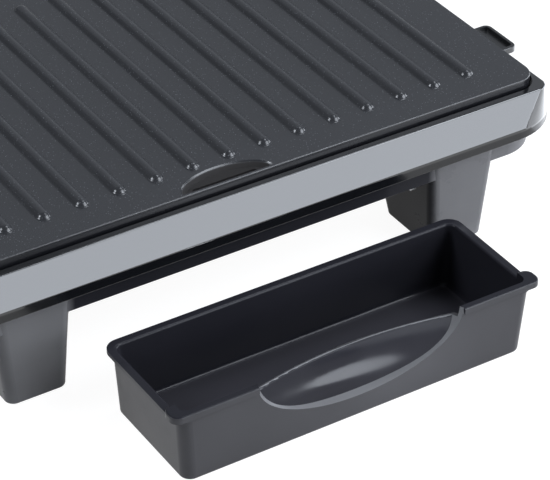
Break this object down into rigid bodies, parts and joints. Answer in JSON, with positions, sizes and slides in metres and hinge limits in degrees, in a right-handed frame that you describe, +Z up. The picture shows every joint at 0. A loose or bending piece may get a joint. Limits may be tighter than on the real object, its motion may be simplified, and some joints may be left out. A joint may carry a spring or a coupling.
{
  "type": "table grill",
  "caption": "Electric table grill with a ribbed lift-off plate, sloped gloss frame on tapered legs, side heat control and a drip drawer with a finger scoop.",
  "frame": {"origin": "on the table, below the middle of the overall box with the drawer pulled out", "axes": "+X along the front from left to right, +Y from the drawer to the back, +Z up"},
  "size_m": [0.473, 0.4022, 0.102],
  "materials": {
    "non_stick": "cast aluminium, dark speckled non-stick coating",
    "gloss_black": "gloss black moulding",
    "satin_black": "satin black moulding",
    "drawer_black": "satin black moulding, glossier inside",
    "knob_black": "satin black with a pale pointer",
    "zinc_sheet": "zinc-plated sheet",
    "bright_sheet": "bright sheet",
    "heater_steel": "heat-tinted steel tube",
    "insulator": "cream insulating compound",
    "lamp_lens": "translucent red",
    "lamp_glass": "clear glass",
    "lead_sleeve": "pale woven sleeve",
    "seat_rubber": "black rubber",
    "zinc_screw": "zinc-plated steel"
  },
  "bodies": {
    "base": {"lower_housing": "satin_black", "upper_housing": "gloss_black", "foot_pad_front_left": "seat_rubber", "foot_pad_front_right": "seat_rubber", "foot_pad_rear_left": "seat_rubber", "foot_pad_rear_right": "seat_rubber", "left_runner": "zinc_sheet", "right_runner": "zinc_sheet", "drip_chute": "bright_sheet", "plate_seat_front_left": "seat_rubber", "plate_seat_front_right": "seat_rubber", "plate_seat_rear_left": "seat_rubber", "plate_seat_rear_right": "seat_rubber", "reflector_tray": "bright_sheet", "heating_element": "heater_steel", "element_bar_left": "zinc_sheet", "element_bar_right": "zinc_sheet", "element_bush_front": "insulator", "element_bush_rear": "insulator", "control_pod": "satin_black", "thermostat_body": "insulator", "pilot_lens": "lamp_lens", "pilot_lamp": "lamp_glass", "terminal_block": "insulator", "thermal_fuse": "zinc_sheet", "cord_gland": "seat_rubber", "control_lead": "lead_sleeve", "element_lead": "lead_sleeve", "return_lead": "lead_sleeve", "lamp_lead": "lead_sleeve", "housing_screws": "zinc_screw", "tray_screws": "zinc_screw", "runner_screws": "zinc_screw"},
    "plate": {"grill_plate": "non_stick", "front_left_grip": "satin_black", "front_right_grip": "satin_black"},
    "drawer": {"drip_drawer": "drawer_black"},
    "heat_control": {"thermostat_knob": "knob_black", "thermostat_shaft": "zinc_sheet"}
  },
  "joints": [
    {"name": "drawer_slide", "type": "slide", "parent": "base", "child": "drawer", "axis": [0, 1, 0], "range_m": [0, 0.113]},
    {"name": "plate_lift", "type": "slide", "parent": "base", "child": "plate", "axis": [0, 0, 1], "range_m": [0, 0.12]},
    {"name": "heat_control_turn", "type": "hinge", "parent": "base", "child": "heat_control", "pos_m": [-0.22005, 0.0531, 0.072], "axis": [1, 0, 0], "range_deg": [0, 270]}
  ]
}
